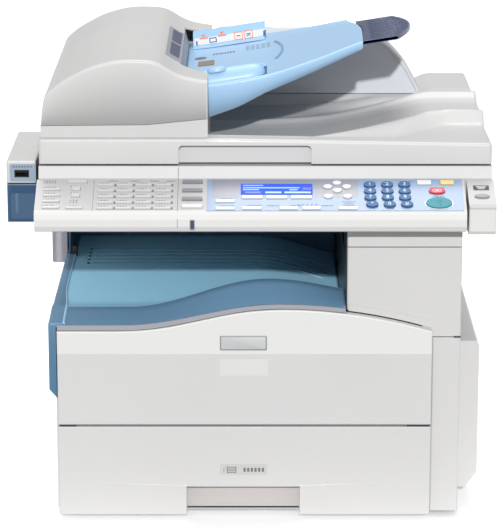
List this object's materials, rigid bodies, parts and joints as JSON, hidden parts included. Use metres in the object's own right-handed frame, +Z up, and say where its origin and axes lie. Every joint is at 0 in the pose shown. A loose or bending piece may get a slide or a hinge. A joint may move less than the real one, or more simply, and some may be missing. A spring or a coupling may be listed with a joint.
{
  "type": "desktop multifunction copier",
  "caption": "Desktop copier and scanner with a hinged document feeder, sloping key panel, side-open output bay, drop-down front door, pull-out paper drawer and side bypass tray.",
  "frame": {"origin": "centre of the footprint of the whole machine, on the surface it stands on", "axes": "+Z up, +Y from the key panel to the back, +X to the right as the user faces it"},
  "size_m": [0.485, 0.45, 0.4765],
  "materials": {
    "shell_white": "fine moulded texture",
    "shell_grey": "fine moulded texture",
    "band_grey": "satin",
    "tray_blue": "fine moulded texture",
    "feed_blue": "satin",
    "navy_clear": "clear tinted",
    "panel_blue": "printed film",
    "lcd_blue": "back-lit",
    "key_white": "satin",
    "key_grey": "satin",
    "key_navy": "glossy",
    "key_green": "glossy",
    "key_red": "glossy",
    "steel": "rolled",
    "black_plastic": "matte",
    "rubber_black": "matte",
    "rubber_grey": "matte",
    "drum_green": "polished coating",
    "glass_clear": "polished",
    "foam_white": "soft foam",
    "board_green": "solder mask"
  },
  "bodies": {
    "machine": {"base_frame": "steel", "rubber_feet": "rubber_black", "inner_cover": "shell_grey", "left_cover": "shell_white", "right_cover": "shell_white", "column_cover": "shell_white", "column_top_cover": "shell_white", "rear_cover": "shell_white", "power_inlet": "black_plastic", "output_tray": "tray_blue", "front_trim": "band_grey", "exit_panel": "tray_blue", "scanner_case": "shell_white", "platen_glass": "glass_clear", "carriage_rod": "steel", "panel_case": "shell_white", "panel_label": "panel_blue", "lcd_display": "lcd_blue", "card_unit": "shell_white", "usb_socket": "steel", "power_switch_unit": "shell_white", "line_box": "shell_grey", "laser_unit": "black_plastic", "power_supply": "board_green", "cover_hinges": "steel"},
    "front_door": {"front_door": "shell_white"},
    "drawer": {"drawer_box": "shell_grey", "drawer_front": "shell_white"},
    "lift_plate": {"lift_plate": "steel"},
    "front_fence": {"front_fence": "feed_blue"},
    "rear_fence": {"rear_fence": "feed_blue"},
    "end_fence": {"end_fence": "feed_blue"},
    "bypass_tray": {"bypass_tray": "shell_white"},
    "card_cover": {"card_cover": "navy_clear"},
    "photo_drum": {"photo_drum": "drum_green"},
    "transfer_roller": {"transfer_roller": "rubber_black"},
    "fuser_roller": {"fuser_roller": "rubber_grey"},
    "pressure_roller": {"pressure_roller": "rubber_grey"},
    "exit_roller": {"exit_roller": "rubber_black"},
    "pickup_roller": {"pickup_roller": "rubber_black"},
    "toner_bottle": {"toner_bottle": "black_plastic"},
    "scan_carriage": {"scan_carriage": "black_plastic"},
    "lid": {"platen_cover": "shell_white", "platen_sheet": "foam_white", "feeder_housing": "shell_white", "feeder_drive_housing": "shell_grey"},
    "feeder_top_cover": {"feeder_top_cover": "shell_white"},
    "feeder_roller": {"feeder_roller": "rubber_grey"},
    "feed_tray": {"feed_tray": "feed_blue"},
    "feed_tray_extension": {"feed_tray_extension": "navy_clear"},
    "front_guide": {"front_guide": "feed_blue"},
    "rear_guide": {"rear_guide": "feed_blue"},
    "power_key": {"power_key": "key_grey"},
    "start_key": {"start_key": "key_green"},
    "stop_key": {"stop_key": "key_red"},
    "number_keys": {"number_keys": "key_navy"},
    "cursor_keys": {"cursor_keys": "key_white"},
    "display_keys": {"display_keys": "key_white"},
    "function_keys": {"function_keys": "key_grey"},
    "memory_keys": {"memory_keys": "key_white"}
  },
  "joints": [
    {"name": "lid_open", "type": "hinge", "parent": "machine", "child": "lid", "pos_m": [0, 0.199, 0.3695], "axis": [-1, 0, 0], "range_deg": [0, 70]},
    {"name": "feeder_cover_open", "type": "hinge", "parent": "lid", "child": "feeder_top_cover", "pos_m": [-0.2075, 0, 0.4025], "axis": [0, -1, 0], "range_deg": [0, 60]},
    {"name": "feed_tray_lift", "type": "hinge", "parent": "lid", "child": "feed_tray", "pos_m": [-0.0415, 0, 0.43], "axis": [0, -1, 0], "range_deg": [0, 18]},
    {"name": "extension_slide", "type": "slide", "parent": "feed_tray", "child": "feed_tray_extension", "axis": [0.9607, 0, 0.2775], "range_m": [0, 0.04]},
    {"name": "front_guide_slide", "type": "slide", "parent": "feed_tray", "child": "front_guide", "axis": [0, 1, 0], "range_m": [0, 0.03]},
    {"name": "rear_guide_slide", "type": "slide", "parent": "feed_tray", "child": "rear_guide", "axis": [0, -1, 0], "range_m": [0, 0.03]},
    {"name": "feeder_roller_spin", "type": "hinge", "parent": "lid", "child": "feeder_roller", "pos_m": [-0.1075, 0, 0.441], "axis": [0, 1, 0], "continuous": true},
    {"name": "door_open", "type": "hinge", "parent": "machine", "child": "front_door", "pos_m": [0, -0.1975, 0.1037], "axis": [1, 0, 0], "range_deg": [0, 85]},
    {"name": "drawer_slide", "type": "slide", "parent": "machine", "child": "drawer", "axis": [0, -1, 0], "range_m": [0, 0.28]},
    {"name": "lift_plate_tilt", "type": "hinge", "parent": "drawer", "child": "lift_plate", "pos_m": [-0.0324, 0, 0.012], "axis": [0, -1, 0], "range_deg": [0, 14]},
    {"name": "front_fence_slide", "type": "slide", "parent": "drawer", "child": "front_fence", "axis": [0, 1, 0], "range_m": [0, 0.04]},
    {"name": "rear_fence_slide", "type": "slide", "parent": "drawer", "child": "rear_fence", "axis": [0, -1, 0], "range_m": [0, 0.04]},
    {"name": "end_fence_slide", "type": "slide", "parent": "drawer", "child": "end_fence", "axis": [1, 0, 0], "range_m": [-0.05, 0.04]},
    {"name": "bypass_open", "type": "hinge", "parent": "machine", "child": "bypass_tray", "pos_m": [0.2155, 0, 0.014], "axis": [0, 1, 0], "range_deg": [0, 65]},
    {"name": "card_cover_open", "type": "hinge", "parent": "machine", "child": "card_cover", "pos_m": [0, -0.1515, 0.3045], "axis": [1, 0, 0], "range_deg": [0, 80]},
    {"name": "photo_drum_spin", "type": "hinge", "parent": "machine", "child": "photo_drum", "pos_m": [0.14, 0, 0.165], "axis": [0, 1, 0], "continuous": true},
    {"name": "transfer_roller_spin", "type": "hinge", "parent": "machine", "child": "transfer_roller", "pos_m": [0.1634, 0, 0.165], "axis": [0, 1, 0], "continuous": true},
    {"name": "fuser_roller_spin", "type": "hinge", "parent": "machine", "child": "fuser_roller", "pos_m": [0.14, 0, 0.245], "axis": [0, 1, 0], "continuous": true},
    {"name": "pressure_roller_spin", "type": "hinge", "parent": "machine", "child": "pressure_roller", "pos_m": [0.1644, 0, 0.245], "axis": [0, 1, 0], "continuous": true},
    {"name": "exit_roller_spin", "type": "hinge", "parent": "machine", "child": "exit_roller", "pos_m": [0.108, 0, 0.272], "axis": [0, 1, 0], "continuous": true},
    {"name": "pickup_roller_spin", "type": "hinge", "parent": "machine", "child": "pickup_roller", "pos_m": [0.14, 0, 0.113], "axis": [0, 1, 0], "continuous": true},
    {"name": "toner_bottle_spin", "type": "hinge", "parent": "machine", "child": "toner_bottle", "pos_m": [0.065, 0, 0.15], "axis": [0, 1, 0], "continuous": true},
    {"name": "carriage_slide", "type": "slide", "parent": "machine", "child": "scan_carriage", "axis": [1, 0, 0], "range_m": [0, 0.34]},
    {"name": "power_key_press", "type": "slide", "parent": "machine", "child": "power_key", "axis": [0, 0.3693, -0.9293], "range_m": [0, 0.001], "stiffness_N_per_m": 400, "springref_m": -0.001},
    {"name": "start_key_press", "type": "slide", "parent": "machine", "child": "start_key", "axis": [0, 0.4305, -0.9026], "range_m": [0, 0.001], "stiffness_N_per_m": 400, "springref_m": -0.001},
    {"name": "stop_key_press", "type": "slide", "parent": "machine", "child": "stop_key", "axis": [0, 0.4305, -0.9026], "range_m": [0, 0.001], "stiffness_N_per_m": 400, "springref_m": -0.001},
    {"name": "number_keys_press", "type": "slide", "parent": "machine", "child": "number_keys", "axis": [0, 0.4305, -0.9026], "range_m": [0, 0.001], "stiffness_N_per_m": 400, "springref_m": -0.001},
    {"name": "cursor_keys_press", "type": "slide", "parent": "machine", "child": "cursor_keys", "axis": [0, 0.4305, -0.9026], "range_m": [0, 0.001], "stiffness_N_per_m": 400, "springref_m": -0.001},
    {"name": "display_keys_press", "type": "slide", "parent": "machine", "child": "display_keys", "axis": [0, 0.4305, -0.9026], "range_m": [0, 0.001], "stiffness_N_per_m": 400, "springref_m": -0.001},
    {"name": "function_keys_press", "type": "slide", "parent": "machine", "child": "function_keys", "axis": [0, 0.4305, -0.9026], "range_m": [0, 0.001], "stiffness_N_per_m": 400, "springref_m": -0.001},
    {"name": "memory_keys_press", "type": "slide", "parent": "machine", "child": "memory_keys", "axis": [0, 0.4305, -0.9026], "range_m": [0, 0.001], "stiffness_N_per_m": 400, "springref_m": -0.001}
  ],
  "couplings": [
    {"joint": "transfer_roller_spin", "follows": "photo_drum_spin", "ratio": -1.875},
    {"joint": "fuser_roller_spin", "follows": "photo_drum_spin", "ratio": 1.25},
    {"joint": "pressure_roller_spin", "follows": "photo_drum_spin", "ratio": -1.25},
    {"joint": "exit_roller_spin", "follows": "photo_drum_spin", "ratio": 2.5},
    {"joint": "pickup_roller_spin", "follows": "photo_drum_spin", "ratio": 1.3636},
    {"joint": "toner_bottle_spin", "follows": "photo_drum_spin", "ratio": 0.2},
    {"joint": "rear_guide_slide", "follows": "front_guide_slide", "ratio": 1},
    {"joint": "rear_fence_slide", "follows": "front_fence_slide", "ratio": 1}
  ]
}
